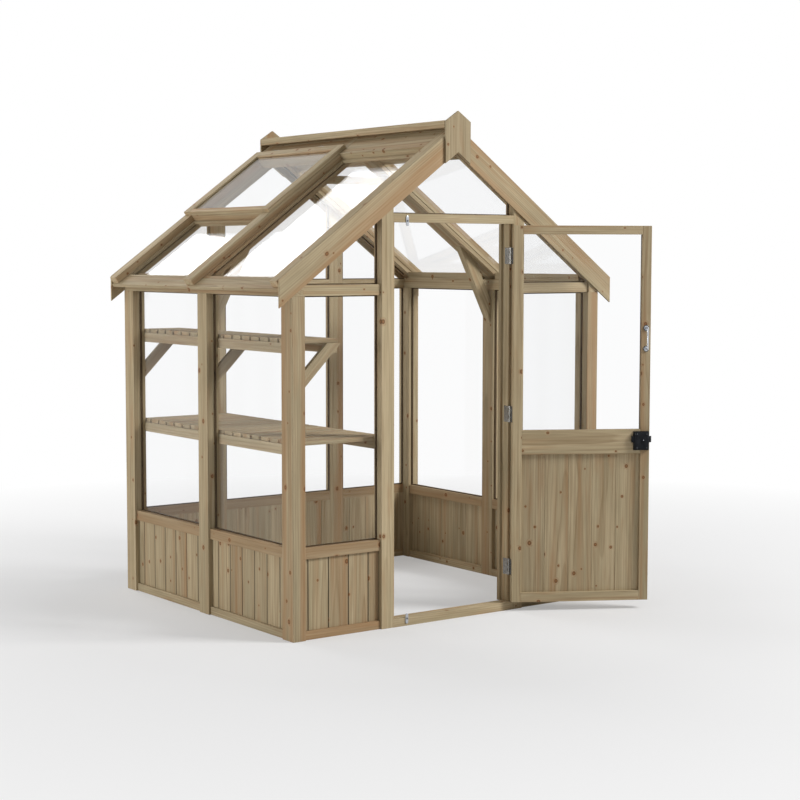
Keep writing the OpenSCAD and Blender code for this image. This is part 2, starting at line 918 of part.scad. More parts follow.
module door_rails() {
  a = leaf_x0 + stile_w;
  b = leaf_x1 - stile_w;
  color(wood)
    swung()
      difference() {
        union() {
          box([a, leaf_y0, leaf_z1 - door_top], [b, leaf_y1, leaf_z1]);
          box([a, leaf_y0, lock_z0], [b, leaf_y1, lock_z1]);
          box([a, leaf_y0, leaf_z0], [b, leaf_y1, leaf_z0 + door_bottom]);
        }
        door_rebate(0);
      }
}

module door_boards() {
  a = leaf_x0 + stile_w;
  b = leaf_x1 - stile_w;
  n = round((b - a) / board_pitch);
  p = (b - a) / n;
  c = 1.5;
  color(wood)
    swung()
      for (i = [0 : n - 1])
        translate([a + i * p + (i > 0 ? seam / 2 : 0), door_board_y, leaf_z0 + door_bottom])
          linear_extrude(height = lock_z0 - leaf_z0 - door_bottom)
            door_board_shape(p - (i > 0 ? seam / 2 : 0) - (i < n - 1 ? seam / 2 : 0), door_board_t, c);
}

module door_board_shape(w, t, c) {
  polygon([[c, 0], [w - c, 0], [w, c], [w, t - c], [w - c, t], [c, t], [0, t - c], [0, c]]);
}

module door_glass() {
  color(glass_tint)
    swung()
      intersection() {
        door_rebate(pane_air);
        box([leaf_x0, door_glass_y, leaf_z0], [leaf_x1, door_glass_y + glass_t, leaf_z1]);
      }
}

module door_beads() {
  w = door_reb;
  a = leaf_x0 + stile_w - w;
  b = leaf_x1 - stile_w + w;
  c = lock_z1 - w;
  d = leaf_z1 - door_top + w;
  y0 = door_glass_y - strip_d;
  color(wood_dark)
    swung() {
      box([a, y0, c], [b, door_glass_y, c + w]);
      box([a, y0, d - w], [b, door_glass_y, d]);
      box([a, y0, c + w + seam], [a + w, door_glass_y, d - w - seam]);
      box([b - w, y0, c + w + seam], [b, door_glass_y, d - w - seam]);
    }
}

// Butt hinge: five knuckles, of which the frame leaf has three and keeps the pin
module knuckle(z, i, r) {
  k = hinge_h / 5;
  translate([pin_x, pin_y, z - hinge_h / 2 + i * k + (i > 0 ? air / 2 : 0)])
    cylinder(r = r, h = k - (i > 0 ? air / 2 : 0) - (i < 4 ? air / 2 : 0));
}

module frame_leaf(z) {
  k = hinge_h / 5;
  x0 = jamb_x - hinge_leaf;
  h2 = hinge_h / 2;
  difference() {
    union() {
      box([x0, jamb_set, z - h2], [jamb_x, jamb_set + hinge_w, z + h2]);
      for (i = [0, 2, 4]) {
        za = z - h2 + i * k + (i > 0 ? air / 2 : 0);
        zb = z - h2 + (i + 1) * k - (i < 4 ? air / 2 : 0);
        knuckle(z, i, knuckle_r);
        box([x0, pin_y, za], [jamb_x, jamb_set + 1, zb]);
      }
      translate([pin_x, pin_y, z - h2 - 1.5])
        cylinder(r = pin_r, h = hinge_h + 3);
    }
    for (dz = [-0.36, 0, 0.36])
      screw_dimple(x0, z + dz * hinge_h, 1);
  }
}

// A sunk screw head place in a hinge leaf
module screw_dimple(x, z, side) {
  translate([x - side * 0.01, jamb_set + hinge_w * 0.6, z])
    rotate([0, side * 90, 0])
      cylinder(r = 3.2, h = 0.8);
}

module hinge_frame_leaves() {
  color(zinc) {
    frame_leaf(hinge_za);
    frame_leaf(hinge_zb);
    frame_leaf(hinge_zc);
  }
}

module door_leaf_plate(z) {
  k = hinge_h / 5;
  x0 = leaf_x1;
  x1 = leaf_x1 + hinge_leaf;
  h2 = hinge_h / 2;
  difference() {
    union() {
      box([x0, jamb_set, z - h2], [x1, jamb_set + hinge_w, z + h2]);
      for (i = [1, 3]) {
        za = z - h2 + i * k + air / 2;
        zb = z - h2 + (i + 1) * k - air / 2;
        knuckle(z, i, knuckle_r);
        box([x0, pin_y - 2, za], [x1, jamb_set + 1, zb]);
        box([x0, pin_y - 2, za], [pin_x - pin_r - 1, pin_y + 2, zb]);
      }
    }
    translate([pin_x, pin_y, z - h2 - 1])
      cylinder(r = pin_r + pin_air, h = hinge_h + 2);
    for (dz = [-0.36, 0, 0.36])
      screw_dimple(x1, z + dz * hinge_h, -1);
  }
}

module hinge_door_leaves() {
  color(zinc)
    swung() {
      door_leaf_plate(hinge_za);
      door_leaf_plate(hinge_zb);
      door_leaf_plate(hinge_zc);
    }
}

// Round bar pull with two round feet on the inner face of the latch stile
module pull_handle() {
  x = leaf_x0 + 22;
  r = 4.5;
  out = 34;
  color(zinc)
    swung()
      translate([x, leaf_y1, pull_z]) {
        for (s = [-1, 1]) {
          translate([0, 0, s * pull_l / 2])
            rotate([-90, 0, 0]) {
              cylinder(r = pull_foot, h = 3.5);
              cylinder(r = r, h = out);
            }
          translate([0, out, s * pull_l / 2])
            sphere(r = r);
        }
        translate([0, out, -pull_l / 2])
          cylinder(r = r, h = pull_l);
      }
}

// Rim latch: a back plate, a bevelled case that the bolt slides through, and four screw heads
module latch_case() {
  x0 = leaf_x0 + latch_in;
  x1 = x0 + latch_w;
  z0 = latch_z - latch_h / 2;
  z1 = latch_z + latch_h / 2;
  y0 = leaf_y1;
  c = 5;
  color(black)
    swung()
      difference() {
        union() {
          box([x0, y0, z0], [x1, y0 + 3, z1]);
          translate([0, 0, z0 + 3])
            linear_extrude(height = latch_h - 6)
              polygon([[x0 + 2, y0 + 1], [x1 - 2, y0 + 1], [x1 - 2, y0 + latch_d - c], [x1 - 2 - c, y0 + latch_d],
                [x0 + 2 + c, y0 + latch_d], [x0 + 2, y0 + latch_d - c]]);
          for (x = [x0 + 14, x1 - 14])
            for (z = [z0 + 12, z1 - 12])
              translate([x, y0 + latch_d - 1, z])
                rotate([-90, 0, 0])
                  cylinder(r = 3, h = 2);
          translate([x0 + latch_w * 0.4, y0 + latch_d - 1, latch_z + 4])
            rotate([-90, 0, 0])
              cylinder(r = 9, h = 3);
        }
        box([x0 - 1, bolt_y0 - air, bolt_z - bolt_h / 2 - air], [x1 + 1, bolt_y0 + bolt_t + air, bolt_z + bolt_h / 2 + air]);
      }
}

// The bolt runs right through the case: a bevelled nose at the edge of the door, a finger tab at the other end
module latch_bolt() {
  x0 = leaf_x0 - bolt_out;
  x1 = leaf_x0 + latch_in + latch_w + 11;
  y0 = bolt_y0;
  y1 = bolt_y0 + bolt_t;
  color(black)
    swung()
      translate([0, 0, bolt_z - bolt_h / 2])
        linear_extrude(height = bolt_h)
          polygon([[x0, y0], [x1 - 3, y0], [x1, y0 + 3], [x1, y1 - 3], [x1 - 3, y1], [leaf_x0 + 2, y1], [x0, y0 + 2]]);
}

// Turn button: a flat bar with round ends that turns on its screw
module button_bore(z) {
  translate([-button_x, -1, z])
    rotate([-90, 0, 0])
      cylinder(r = 2, h = 23);
}

module button(z) {
  r = button_w / 2;
  l = button_l - button_w;
  color(zinc)
    translate([-button_x, -3.3, z])
      rotate([-90, 0, 0])
        difference() {
          union() {
            for (s = [-1, 1])
              translate([0, s * l / 2, 0])
                cylinder(r = r, h = 3);
            translate([-r, -l / 2, 0])
              cube([button_w, l, 3]);
          }
          translate([0, 0, -1])
            cylinder(r = 2 + pin_air, h = 5);
        }
}

module upper_button() {
  button(button_za);
}

module lower_button() {
  button(button_zb);
}

module button_screws() {
  color(zinc)
    for (z = [button_za, button_zb])
      translate([-button_x, -3.6, z])
        rotate([-90, 0, 0]) {
          cylinder(r = 2, h = 25.6);
          translate([0, 0, -1.6])
            cylinder(r = 4, h = 1.6);
        }
}

// Roof vent on the left slope, drawn on the right slope and mirrored
module vent_frame() {
  y0 = bay_a1;
  y1 = house_d;
  w = vent_stile;
  d0 = -vent_t - air;
  d1 = -air;
  g = 0.2;
  a = vent_s0 + vent_bottom;
  b = vent_s1 - vent_top;
  color(wood)
    mirror([1, 0, 0]) {
      difference() {
        union() {
          slope_bar(vent_s0, vent_s1, d0, d1, y0, y0 + w);
          slope_bar(vent_s0, vent_s1, d0, d1, y1 - w, y1);
          slope_bar(vent_s0, a, d0, d1, y0 + w + seam, y1 - w - seam);
          slope_bar(b, vent_s1, d0, d1, y0 + w + seam, y1 - w - seam);
        }
        slope_bar(a - 7, b + 7, d0 + 8 - g, d0 + 8 + glass_t + g, y0 + w - 7, y1 - w + 7);
      }
    }
}

module vent_glass() {
  d0 = -vent_t - air;
  color(glass_tint)
    mirror([1, 0, 0])
      slope_bar(vent_s0 + vent_bottom - 6, vent_s1 - vent_top + 6, d0 + 8, d0 + 8 + glass_t, bay_a1 + vent_stile - 6, house_d - vent_stile + 6);
}

vent_hinge_y = [bay_b0 + vent_hinge_in, bay_b1 - vent_hinge_in - 5 * vent_k];

// Three outer knuckles belong to the base on the roof rail, the two between them to the vent
module vent_knuckles(y, which, r) {
  p = rp(vent_ax_s, vent_ax_d);
  for (i = which)
    translate([p[0], y + i * vent_k + (i > 0 ? air / 2 : 0), p[1]])
      rotate([-90, 0, 0])
        cylinder(r = r, h = vent_k - (i > 0 ? air / 2 : 0) - (i < 4 ? air / 2 : 0));
}

module vent_hinge_bases() {
  p = rp(vent_ax_s, vent_ax_d);
  color(zinc)
    mirror([1, 0, 0])
      for (y = vent_hinge_y) {
        slope_bar(vent_ax_s + 4, vent_ax_s + 22, -1.6, 0, y, y + 5 * vent_k);
        for (i = [0, 2, 4])
          slope_bar(vent_ax_s, vent_ax_s + 5, -1.6, -0.2, y + i * vent_k + (i > 0 ? air / 2 : 0), y + (i + 1) * vent_k - (i < 4 ? air / 2 : 0));
        vent_knuckles(y, [0, 2, 4], vent_knuckle_r);
        translate([p[0], y - 1, p[1]])
          rotate([-90, 0, 0])
            cylinder(r = 1.3, h = 5 * vent_k + 2);
      }
}

module vent_hinge_leaves() {
  p = rp(vent_ax_s, vent_ax_d);
  color(zinc)
    mirror([1, 0, 0])
      for (y = vent_hinge_y)
        difference() {
          union() {
            slope_bar(vent_s1, vent_s1 + 1.2, -vent_t, vent_ax_d - 3.5, y, y + 5 * vent_k);
            for (i = [1, 3]) {
              slope_bar(vent_s1, vent_s1 + 1.2, vent_ax_d - 4.6, vent_ax_d, y + i * vent_k + air / 2, y + (i + 1) * vent_k - air / 2);
              slope_bar(vent_s1, vent_ax_s - 2, vent_ax_d - 2.8, vent_ax_d - 1.2, y + i * vent_k + air / 2, y + (i + 1) * vent_k - air / 2);
            }
            vent_knuckles(y, [1, 3], vent_knuckle_r);
          }
          translate([p[0], y - 1, p[1]])
            rotate([-90, 0, 0])
              cylinder(r = 1.3 + pin_air, h = 5 * vent_k + 2);
        }
}

corner_posts();
side_posts();
door_posts();
rear_studs();
sole_plates();
threshold();
sills();
boards_left();
boards_right();
boards_front();
boards_rear();
eaves_plates();
eaves_fillets();
end_top_rails();
transom();
door_jambs();
door_stops();
side_glass();
front_glass();
rear_glass();
gable_glass();
wall_beads();
gable_beads();
end_rafters();
mid_rafters();
barge_boards();
finials();
ridge_board();
ridge_cap();
eaves_boards();
roof_top_rails();
vent_trimmer();
roof_glass();
roof_beads();
roof_battens();
knee_braces();
collar_tie();
shelf_bearers();
upper_slats();
lower_slats();
shelf_brackets();
shelf_leg();
hinge_frame_leaves();
button_screws();
door_stiles();
door_rails();
door_boards();
door_glass();
door_beads();
hinge_door_leaves();
pull_handle();
latch_case();
latch_bolt();
upper_button();
lower_button();
vent_frame();
vent_glass();
vent_hinge_leaves();
vent_hinge_bases();
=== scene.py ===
"""Dresses the small wooden greenhouse: timber, glass, zinc and black iron, on a plain pale stage."""
import json
import math
import random

import bmesh
import bpy
from mathutils import Matrix, Vector


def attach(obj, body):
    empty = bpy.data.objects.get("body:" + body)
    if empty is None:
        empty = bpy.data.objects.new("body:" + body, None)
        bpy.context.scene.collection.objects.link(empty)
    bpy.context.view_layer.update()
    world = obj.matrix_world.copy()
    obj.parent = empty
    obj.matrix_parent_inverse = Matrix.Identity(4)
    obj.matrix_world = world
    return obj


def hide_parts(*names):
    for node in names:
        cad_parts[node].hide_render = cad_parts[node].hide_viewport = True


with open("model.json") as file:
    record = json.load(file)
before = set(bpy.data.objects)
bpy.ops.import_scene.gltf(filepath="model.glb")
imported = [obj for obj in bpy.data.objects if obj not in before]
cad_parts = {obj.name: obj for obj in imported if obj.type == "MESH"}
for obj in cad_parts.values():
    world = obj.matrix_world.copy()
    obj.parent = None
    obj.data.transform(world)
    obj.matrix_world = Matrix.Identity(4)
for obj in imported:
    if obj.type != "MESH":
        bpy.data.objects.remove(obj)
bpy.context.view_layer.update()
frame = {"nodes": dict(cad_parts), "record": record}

bl_info = {
    "name": "Timber greenhouse dresser",
    "version": (1, 0, 0),
    "blender": (4, 5, 0),
    "location": "View3D > Sidebar > Greenhouse",
    "description": "Gives the greenhouse its timber, glass and metal finishes and sets its stage",
    "category": "Object",
}

RECORD = frame["record"]
BODY_OF = {n: b for b, ns in RECORD["behaviour"]["bodies"].items() for n in ns}
SLOT_OF = {p["node"]: p["material_slot"] for p in RECORD["subparts"]}
FINISHES = {}

# Where the door hangs, in metres, and how far it stands open, in degrees
DOOR_PIN = (0.3292, 0.0085)
DOOR_OPEN = 150.4

# Small hardware on the shut door, in metres: x and z of each piece, and the y that it stands on
PULL_FEET_X = -0.2995
PULL_FEET_Z = (1.217, 1.313)
DOOR_FACE_Y = 0.056
FOOT_RING = ((0.0104, 0.0034), (0.0108, 0.0046), (0.0120, 0.0052), (0.0132, 0.0046), (0.0137, 0.0030),
             (0.0137, 0.0002), (0.0104, 0.0002), (0.0104, 0.0034))
LATCH_SCREWS = ((-0.304, 0.8225), (-0.258, 0.8225), (-0.304, 0.7585), (-0.258, 0.7585))
LATCH_SCREWS_Y = 0.077
KEY_PLUG = (-0.2884, 0.078, 0.7945)
METAL_EDGE = 0.0008
BUTTON_EDGE = 0.0005

# The stage
WHITE = (1.0, 1.0, 1.0, 1.0)
FLOOR_COLOUR = (0.71, 0.71, 0.713, 1.0)
FLOOR_RADIUS = 30.0
FLOOR_FADE = (1.6, 5.0, 0.3, 1.0)
CARD_CORNERS = ((-1.3, 4.0, 2.73), (0.72, 4.0, 4.19), (1.15, 4.0, 5.2), (-1.3, 4.0, 5.2))
CARD_STRENGTH = 4.0
LAMPS = (("right_lamp", (5.2, -5.6, 6.2), 810.0, 3.0), ("left_lamp", (-7.0, 2.2, 1.6), 205.0, 2.6),
         ("back_lamp", (-1.0, 5.5, 5.0), 140.0, 3.0))
LAMP_TARGET = (0.0, 0.7, 1.0)
CAMERA_PLACE = (-4.7907, -6.1347, 1.6362)
CAMERA_TURN = (85.30, -0.07, -36.17)


def look():
    """The user's values for colours and sizes."""
    return bpy.context.scene.greenhouse_look


# Shader maths

class Wire:
    """A shader socket that takes part in Python expressions."""

    def __init__(self, graph, socket):
        self.graph = graph
        self.socket = socket

    def _math(self, operation, a, b=None):
        values = {0: a} if b is None else {0: a, 1: b}
        return self.graph.add("ShaderNodeMath", values, operation=operation)

    def __add__(self, other):
        return self._math("ADD", self, other)

    def __sub__(self, other):
        return self._math("SUBTRACT", self, other)

    def __mul__(self, other):
        return self._math("MULTIPLY", self, other)

    def __truediv__(self, other):
        return self._math("DIVIDE", self, other)

    def __pow__(self, other):
        return self._math("POWER", self, other)

    def fract(self):
        return self._math("FRACT", self)

    def most(self, other):
        return self._math("MAXIMUM", self, other)

    def above(self, other):
        return self._math("GREATER_THAN", self, other)


class Graph:
    """The nodes of a new material or of a world, and the one method that adds any node to them."""

    def __init__(self, name, world=None):
        self.owner = world or bpy.data.materials.new(name)
        self.owner.use_nodes = True
        self.tree = self.owner.node_tree
        self.tree.nodes.clear()

    def add(self, kind, values=None, out=0, **settings):
        node = self.tree.nodes.new(kind)
        for key, value in settings.items():
            setattr(node, key, value)
        for key, value in (values or {}).items():
            socket = node.inputs[key]
            if isinstance(value, Wire):
                self.tree.links.new(value.socket, socket)
            else:
                socket.default_value = value
        return Wire(self, node.outputs[out]) if len(node.outputs) else None

    def mix(self, factor, a, b, blend="MIX"):
        return self.add("ShaderNodeMix", {0: factor, 6: a, 7: b}, out=2, data_type="RGBA", blend_type=blend)

    def spread(self, value, low, high, to_low=0.0, to_high=1.0):
        return self.add("ShaderNodeMapRange", {0: value, 1: low, 2: high, 3: to_low, 4: to_high}, clamp=True)

    def seen(self):
        """1 for the rays that show a thing: straight from the camera, in a mirror or through glass."""
        camera_ray, glossy_ray, through_ray = (self.add("ShaderNodeLightPath", out=n) for n in (0, 3, 6))
        return camera_ray.most(glossy_ray).most(through_ray)

    def finish(self, shader, kind="ShaderNodeOutputMaterial"):
        self.add(kind, {"Surface": shader})
        return self.owner


def rgba(colour):
    return (colour[0], colour[1], colour[2], 1.0)


def srgb(r, g, b):
    """A colour as the eye names it, 0 to 255, made linear."""
    out = []
    for c in (r, g, b):
        c = c / 255.0
        out.append(c / 12.92 if c <= 0.04045 else ((c + 0.055) / 1.055) ** 2.4)
    return tuple(out)


def softwood(name, pale, deep, green, warm, knot, lift=1.0, warmth=0.0):
    """Pressure-treated softwood. It follows each stick's own grain and seed attributes, and paints shade into the
    marked bevels of board grooves.
    """
    g = Graph(name)
    place = g.add("ShaderNodeAttribute", attribute_name="grain", attribute_type="GEOMETRY", out=1)
    seed = g.add("ShaderNodeAttribute", attribute_name="seed", attribute_type="GEOMETRY", out=2)
    # painted shade: 1 on the bevels of board grooves, where the colour is darkened as if shaded
    seam = g.add("ShaderNodeAttribute", attribute_name="seam", attribute_type="GEOMETRY", out=2)
    shift = seed * 37.0

    def noise(stretch, scale, detail, shifted):
        at = g.add("ShaderNodeVectorMath", {0: place, 1: stretch}, operation="MULTIPLY")
        return g.add("ShaderNodeTexNoise", {"Vector": at, "W": shifted, "Scale": scale, "Detail": detail},
                     noise_dimensions="4D")

    wander = noise((0.9, 7.0, 7.0), 1.0, 2.0, shift)
    streaks = noise((3.2, 95.0, 95.0), 1.0, 3.0, shift)
    hairs = noise((9.0, 420.0, 420.0), 1.0, 2.0, shift)
    clouds = noise((0.9, 7.0, 7.0), 2.4, 3.0, shift + 9.0)
    bands = noise((0.5, 21.0, 21.0), 1.0, 2.0, shift + 5.0)
    flames = noise((3.0, 24.0, 24.0), 1.0, 3.0, shift + 2.0)
    length = g.add("ShaderNodeVectorMath", {0: place, 1: (1.0, 0.0, 0.0)}, operation="DOT_PRODUCT", out=1)
    across = g.add("ShaderNodeVectorMath", {0: place, 1: (0.0, 1.15, 1.15)}, operation="DOT_PRODUCT", out=1)
    knots_at = g.add("ShaderNodeCombineXYZ", {0: length, 1: across})
    knots, cell = (g.add("ShaderNodeTexVoronoi", {"Vector": knots_at, "Scale": 8.6, "Randomness": 0.95}, out=n,
                         voronoi_dimensions="2D", feature="F1") for n in (0, 1))
    size = g.add("ShaderNodeSeparateColor", {0: cell}, out=0)
    kept = g.add("ShaderNodeSeparateColor", {0: cell}, out=1).above(0.42)
    off = (knots + (streaks - 0.5) * 0.03 + (hairs - 0.5) * 0.012) / (size * size * 0.05 + 0.026)
    heart = g.spread(off, 0.85, 1.1, 1.0, 0.0) * kept
    rim = g.spread(off, 0.5, 0.9, 0.0, 1.0) * g.spread(off, 1.0, 1.35, 1.0, 0.0) * kept
    halo = g.spread(off, 0.9, 2.5, 1.0, 0.0) * kept
    split = g.add("ShaderNodeVectorMath", {0: place, 1: (0.0, 1.0, 1.0)}, operation="MULTIPLY")
    radius = g.add("ShaderNodeVectorMath", {0: split}, operation="LENGTH", out=1)
    ring = (radius * 110.0 + wander * 5.0 + halo * 1.4).fract()
    late = g.spread(ring, 0.45, 0.95, 0.0, 1.0) * g.spread(ring, 0.95, 1.0, 1.0, 0.0)
    body = g.mix(late * 0.38 + streaks * 1.4 - 0.5, rgba(pale), rgba(deep))
    body = g.mix(g.spread(clouds, 0.42, 0.68, 0.0, 0.5), body, rgba(green))
    body = g.mix(g.spread(bands, 0.52, 0.68, warmth, warmth * 0.4 + 0.6), body, rgba(warm))
    body = g.mix(g.spread(bands, 0.3, 0.46, 0.5, 0.0), body, rgba(pale))
    body = g.mix(g.spread(flames, 0.56, 0.7, 0.0, 0.4), body, rgba(warm))
    tone = g.spread(seed.fract(), 0.0, 1.0, 0.88 * lift, 1.06 * lift) * g.spread(hairs, 0.3, 0.7, 0.91, 1.08)
    # painted shade: the marked groove bevels are darkened to 0.4 of the timber colour
    tone = tone * (seam * -0.6 + 1.0)
    shade = g.add("ShaderNodeCombineColor", {0: tone, 1: tone * 0.995, 2: tone * 0.98})
    body = g.mix(1.0, body, shade, "MULTIPLY")
    body = g.mix(halo * 0.42, body, rgba([k * 1.6 for k in knot]))
    body = g.mix(heart * 0.75, body, rgba(knot))
    body = g.mix(rim * 0.8, body, rgba([k * 0.36 for k in knot]))
    height = late * 0.4 + streaks * 0.3 + hairs * 0.3 - heart * 0.3
    bump = g.add("ShaderNodeBump", {"Strength": 0.25, "Distance": 0.0006, "Height": height})
    rough = g.spread(streaks, 0.2, 0.8, 0.64, 0.8) - late * 0.06
    shader = g.add("ShaderNodeBsdfPrincipled", {"Base Color": body, "Roughness": rough, "Normal": bump,
                                                "Specular IOR Level": 0.2})
    return g.finish(shader)


def pane_glass(name, tint):
    """Clear float glass: light goes through, and a white sheen comes in where it is seen at a slant."""
    g = Graph(name)
    slant = g.add("ShaderNodeLayerWeight", {"Blend": 0.5}, out=1)
    sheen = g.add("ShaderNodeBsdfPrincipled", {"Base Color": rgba((0.95, 0.96, 0.97)), "Roughness": 0.03,
                                               "Metallic": 1.0})
    clear = g.add("ShaderNodeBsdfTransparent", {"Color": rgba(tint)})
    veil = (slant ** 5.0) * 0.7 + 0.006
    shader = g.add("ShaderNodeMixShader", {0: veil, 1: clear, 2: sheen})
    return g.finish(shader)


def bright_zinc(name, colour, metallic=0.7):
    """Bright zinc plate with faint spangle and handling marks."""
    g = Graph(name)
    place = g.add("ShaderNodeTexCoord", out=3)
    grain = g.add("ShaderNodeTexNoise", {"Vector": place, "Scale": 260.0, "Detail": 3.0})
    patch = g.add("ShaderNodeTexVoronoi", {"Vector": place, "Scale": 120.0}, out=1)
    tone = g.add("ShaderNodeSeparateColor", {0: patch}, out=0)
    dark = [c * 0.72 for c in colour]
    body = g.mix(g.spread(tone, 0.0, 1.0, 0.0, 0.5), rgba(colour), rgba(dark))
    rough = g.spread(grain, 0.3, 0.7, 0.14, 0.28)
    bump = g.add("ShaderNodeBump", {"Strength": 0.1, "Distance": 0.0002, "Height": grain})
    shader = g.add("ShaderNodeBsdfPrincipled", {"Base Color": body, "Roughness": rough, "Metallic": metallic,
                                                "Normal": bump})
    return g.finish(shader)


def black_iron(name, colour):
    """Matt black stoved paint on iron, a little paler where it is rubbed."""
    g = Graph(name)
    place = g.add("ShaderNodeTexCoord", out=3)
    grain = g.add("ShaderNodeTexNoise", {"Vector": place, "Scale": 900.0, "Detail": 2.0})
    rub = g.add("ShaderNodeTexNoise", {"Vector": place, "Scale": 60.0, "Detail": 4.0})
    pale = [c * 2.2 + 0.01 for c in colour]
    body = g.mix(g.spread(rub, 0.5, 0.75, 0.0, 0.6), rgba(colour), rgba(pale))
    rough = g.spread(rub, 0.3, 0.7, 0.42, 0.6)
    bump = g.add("ShaderNodeBump", {"Strength": 0.2, "Distance": 0.0003, "Height": grain})
    shader = g.add("ShaderNodeBsdfPrincipled", {"Base Color": body, "Roughness": rough, "Normal": bump,
                                                "Specular IOR Level": 0.12})
    return g.finish(shader)


def finish_of(kind):
    """Each finish is made once, from the user's colours."""
    if kind not in FINISHES:
        v = look()
        wood = (v.wood_pale, v.wood_deep, v.wood_green, v.wood_warm, v.wood_knot)
        strip_tones = [[c * k for c in v.strip_dark_colour] for k in (1.0, 0.6, 0.85, 1.1, 0.4)]
        makers = {
            "frame_wood": lambda: softwood("treated_frame_timber", *wood),
            "trim_wood": lambda: softwood("treated_trim_timber", *wood, lift=0.94),
            "board_wood": lambda: softwood("treated_boards", *wood, lift=0.97),
            "sill_wood": lambda: softwood("treated_sill_timber", *wood, lift=0.9, warmth=v.sill_warmth),
            "finial_wood": lambda: softwood("treated_finial_timber", *wood, lift=0.86),
            # the glazing strips are coloured far darker than the timber, which draws a dark line along each pane's edge
            "strip_wood": lambda: softwood("dark_glazing_strips", *strip_tones),
            "glass": lambda: pane_glass("clear_horticultural_glass", v.glass_tint),
            "zinc": lambda: bright_zinc("bright_zinc_plate", v.zinc_colour),
            "hinge_zinc": lambda: bright_zinc("passivated_hinge_steel", v.hinge_colour, 0.85),
            # painted shade: zinc darkened to a fifth of its colour, standing in for shade in the button slots and round
            # the pull's domed feet
            "shade_darkened_zinc": lambda: bright_zinc("zinc_darkened_as_shade", [c * 0.2 for c in v.zinc_colour], 0.6),
            "black_metal": lambda: black_iron("stoved_black_iron", v.black_colour),
        }
        FINISHES[kind] = makers[kind]()
    return FINISHES[kind]


# Meshes

def new_piece(name, bm, finish, like, replaces=True):
    """Turns a bmesh into a piece that rides on the body of a node and may stand for it."""
    mesh = bpy.data.meshes.new(name)
    bm.to_mesh(mesh)
    bm.free()
    piece = bpy.data.objects.new(name, mesh)
    bpy.context.collection.objects.link(piece)
    mesh.materials.append(finish_of(finish))
    if replaces:
        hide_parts(like)
    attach(piece, BODY_OF[like])
    return piece


def clean_copy(node):
    """A welded copy of a node's triangles, with its flat faces whole again."""
    bm = bmesh.new()
    bm.from_mesh(frame["nodes"][node].data)
    bmesh.ops.remove_doubles(bm, verts=bm.verts[:], dist=2e-5)
    bmesh.ops.dissolve_limit(bm, angle_limit=math.radians(0.5), verts=bm.verts[:], edges=bm.edges[:])
    return bm


def ease_edges(bm, width, segments=2, sharpest=25):
    """Takes the arrises off every sharp edge, as a plane and sandpaper do."""
    edges = [e for e in bm.edges if len(e.link_faces) == 2 and e.calc_face_angle(0) > math.radians(sharpest)]
    bmesh.ops.bevel(bm, geom=edges, offset=width, offset_type="OFFSET", affect="EDGES", segments=segments,
                    profile=0.5, material=-1, clamp_overlap=True)


def sticks_of(bm):
    """The separate solids of a mesh, each as a list of its vertices."""
    seen = set()
    found = []
    for start in bm.verts:
        if start.index in seen:
            continue
        seen.add(start.index)
        group = [start]
        for v in group:
            for e in v.link_edges:
                other = e.other_vert(v)
                if other.index not in seen:
                    seen.add(other.index)
                    group.append(other)
        found.append(group)
    return found


def lay_grain(bm, name, grooved=False):
    """Writes each stick's own grain: its length, width and thickness from a pith that lies outside it.

    Grooved boards also get their bevels marked, so that the material paints shade into the grooves between boards.
    """
    bm.verts.index_update()
    bm.normal_update()
    seam = bm.faces.layers.float.new("seam")
    grain = bm.verts.layers.float_vector.new("grain")
    seed = bm.verts.layers.float.new("seed")
    dice = random.Random(name + " 0")
    for stick in sticks_of(bm):
        edges = list(dict.fromkeys(e for v in stick for e in v.link_edges))
        longest = max(edges, key=lambda e: e.calc_length())
        run = (longest.verts[1].co - longest.verts[0].co).normalized()
        if run[max(range(3), key=lambda i: abs(run[i]))] < 0:
            run = -run
        wide = Vector((0, 0, 1)).cross(run) if abs(run.z) < 0.9 else Vector((1, 0, 0))
        best = 0.0
        for e in edges:
            d = e.verts[1].co - e.verts[0].co
            if d.length > best and abs(d.normalized().dot(run)) < 0.2:
                best = d.length
                wide = d.normalized()
        wide = (wide - run * wide.dot(run)).normalized()
        if wide[max(range(3), key=lambda i: abs(wide[i]))] < 0:
            wide = -wide
        thick = run.cross(wide)
        middle = sum((v.co for v in stick), Vector()) / len(stick)
        pith = Vector((dice.uniform(-40, 40), dice.uniform(-0.05, 0.05),
                       dice.choice((-1, 1)) * dice.uniform(0.03, 0.11)))
        value = dice.random() + dice.randrange(20)
        for v in stick:
            d = v.co - middle
            v[grain] = Vector((d.dot(run), d.dot(wide), d.dot(thick))) + pith
            v[seed] = value
        # painted shade: marks the groove bevels that the material darkens as shade
        if grooved:
            for f in {f for v in stick for f in v.link_faces}:
                f[seam] = 1.0 if min(abs(f.normal.dot(wide)), abs(f.normal.dot(thick))) > 0.3 else 0.0


def timber(node, edge, finish=None, segments=2, grooved=False):
    """Stands in for a timber node: the same sticks with eased edges and grain along each of them."""
    bm = clean_copy(node)
    if edge > 0:
        ease_edges(bm, edge, segments)
    lay_grain(bm, node, grooved)
    return new_piece(node + "_timber", bm, finish or SLOT_OF[node], node)


def metal(node, edge, finish=None):
    """Stands in for a metal node: the same shape with its edges broken and its round parts smooth."""
    bm = clean_copy(node)
    if edge > 0:
        ease_edges(bm, edge, sharpest=35)
    piece = new_piece(node + "_metal", bm, finish or SLOT_OF[node], node)
    smooth_by_angle(piece)
    return piece


def smooth_by_angle(piece, angle=32):
    mesh = piece.data
    mesh.polygons.foreach_set("use_smooth", [True] * len(mesh.polygons))
    bm = bmesh.new()
    bm.from_mesh(mesh)
    for e in bm.edges:
        if len(e.link_faces) == 2 and e.calc_face_angle(0) > math.radians(angle):
            e.smooth = False
    bm.to_mesh(mesh)
    bm.free()


